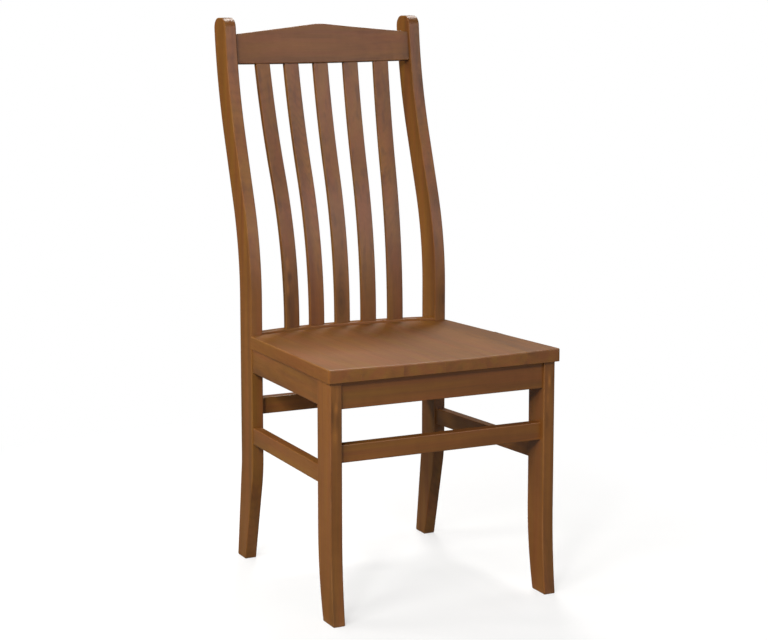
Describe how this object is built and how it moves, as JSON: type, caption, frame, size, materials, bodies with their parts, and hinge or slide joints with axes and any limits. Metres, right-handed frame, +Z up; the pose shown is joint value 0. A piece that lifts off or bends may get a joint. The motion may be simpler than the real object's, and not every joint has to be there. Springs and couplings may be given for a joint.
{
  "type": "side chair",
  "caption": "Wooden side chair with curved back posts, upright back slats, a gabled crest rail, a hollowed board seat and stretchers between sabre legs.",
  "frame": {"origin": "on the floor, in the middle of the chair's width and depth", "axes": "+Z up, +X to the right as seen from the front, the chair's front faces -Y"},
  "size_m": [0.459, 0.5786, 1.04],
  "materials": {
    "leg_wood": "satin brown stain",
    "rail_wood": "satin brown stain",
    "slat_wood": "satin brown stain",
    "seat_wood": "satin brown stain",
    "block_wood": "unstained",
    "screw_steel": "zinc plated"
  },
  "bodies": {
    "root": {"left_back_post": "leg_wood", "right_back_post": "leg_wood", "left_front_leg": "leg_wood", "right_front_leg": "leg_wood", "crest_rail": "rail_wood", "back_rail": "rail_wood", "slat_1": "slat_wood", "slat_2": "slat_wood", "slat_3": "slat_wood", "slat_4": "slat_wood", "slat_5": "slat_wood", "seat_board_1": "seat_wood", "seat_board_2": "seat_wood", "seat_board_3": "seat_wood", "seat_board_4": "seat_wood", "seat_board_5": "seat_wood", "seat_board_6": "seat_wood", "front_apron": "rail_wood", "left_side_apron": "rail_wood", "right_side_apron": "rail_wood", "front_stretcher": "rail_wood", "rear_stretcher": "rail_wood", "left_side_stretcher": "rail_wood", "right_side_stretcher": "rail_wood", "front_left_block": "block_wood", "front_right_block": "block_wood", "rear_left_block": "block_wood", "rear_right_block": "block_wood", "block_screws": "screw_steel", "seat_screws": "screw_steel"}
  },
  "joints": []
}
